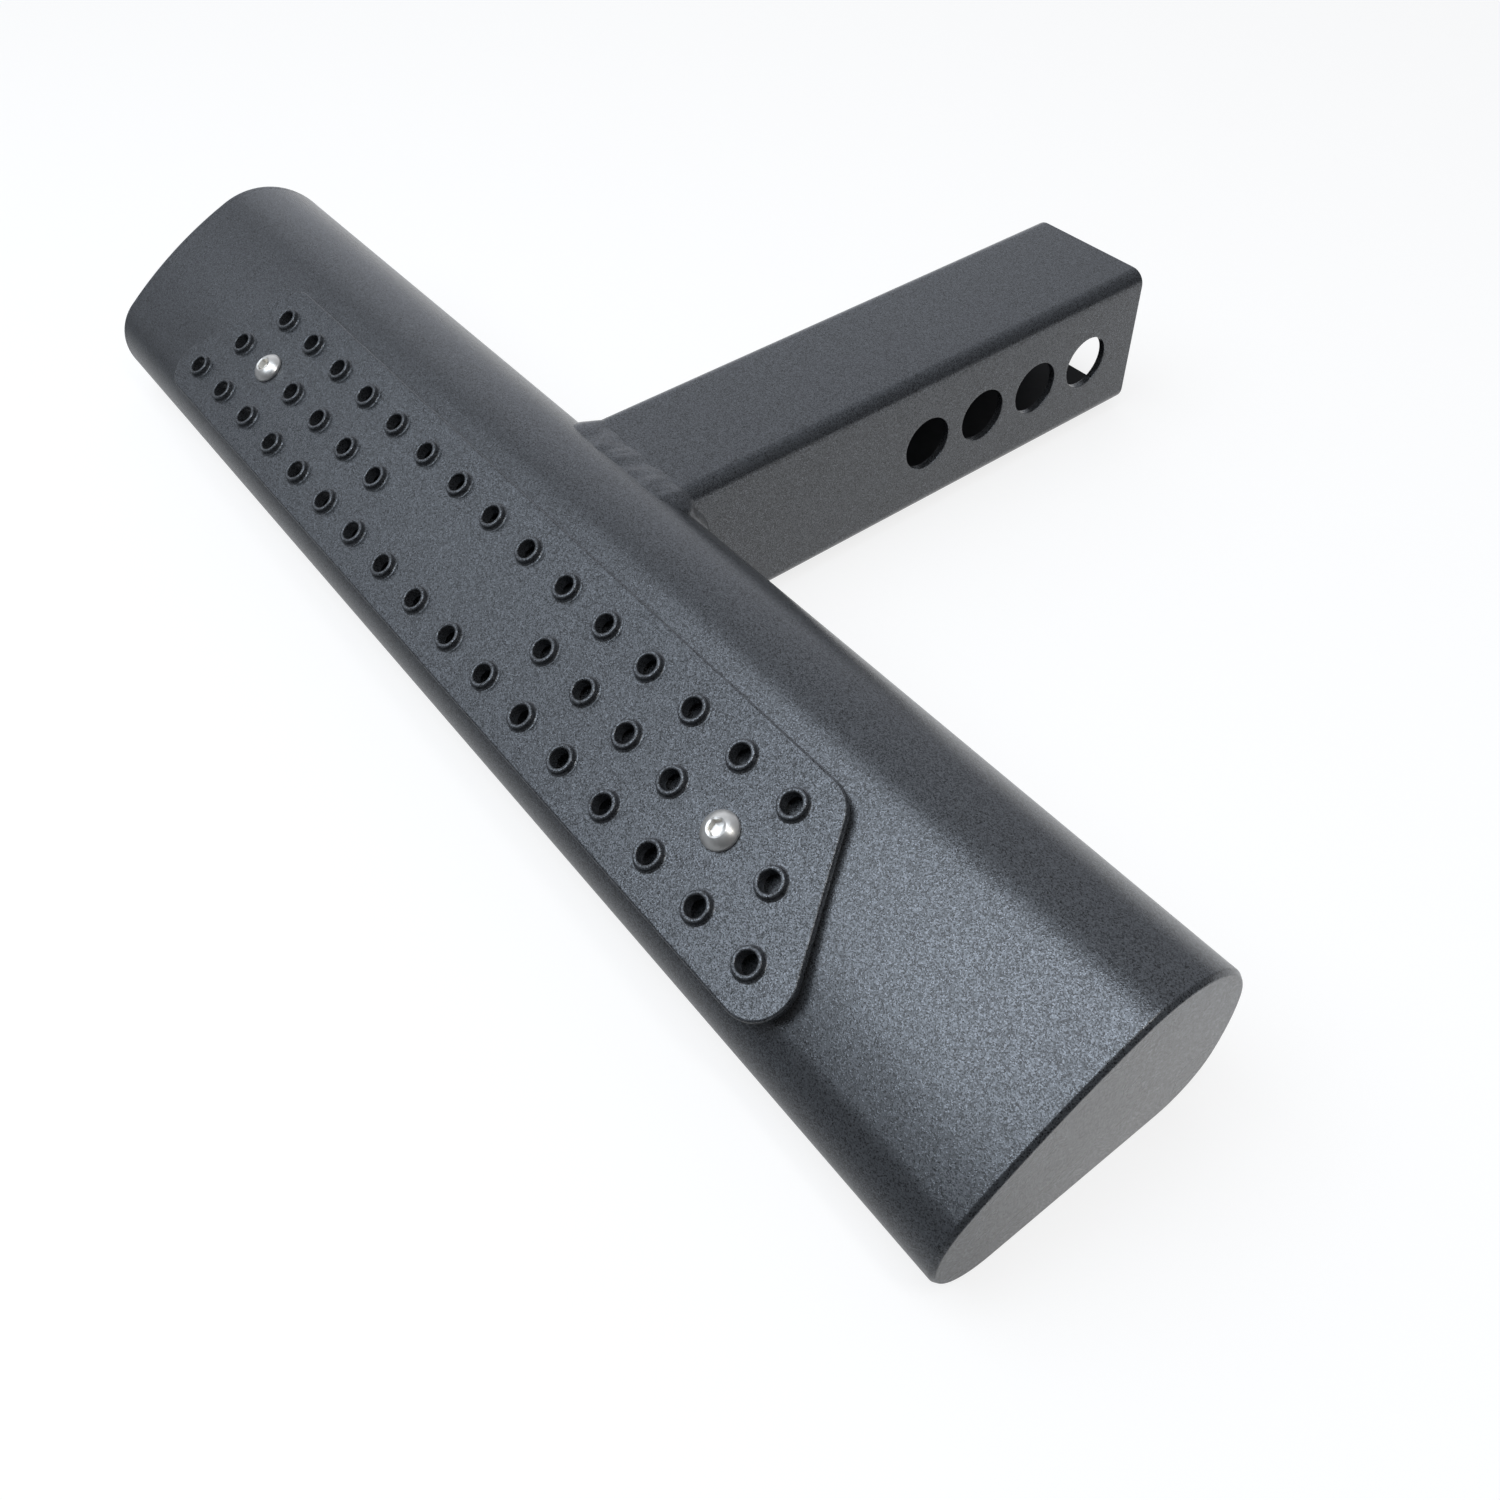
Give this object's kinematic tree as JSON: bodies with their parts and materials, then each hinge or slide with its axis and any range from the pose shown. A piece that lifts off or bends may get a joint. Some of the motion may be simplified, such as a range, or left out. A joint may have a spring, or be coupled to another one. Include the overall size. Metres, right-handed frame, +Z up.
{
  "type": "hitch receiver step",
  "caption": "Wedge-shaped step tube with a pierced, collared tread plate, welded across the end of a square shank with a row of pin holes that plugs into a tow hitch receiver.",
  "frame": {"origin": "on the shank's axis, at the pin hole nearest its open tail", "axes": "+X along the step, +Y along the shank towards the vehicle, +Z up; the tread leans towards -Y"},
  "size_m": [0.4434, 0.275, 0.0594],
  "materials": {
    "black_coat": "fine-textured semi-matte powder coat",
    "stainless": "bright machined stainless",
    "zinc_plate": "zinc plated"
  },
  "bodies": {
    "root": {"step_tube": "black_coat", "end_cap_left": "black_coat", "end_cap_right": "black_coat", "shank": "black_coat", "shank_weld": "black_coat", "tread_plate": "black_coat", "tread_screws": "stainless", "threaded_inserts": "zinc_plate"}
  },
  "joints": []
}
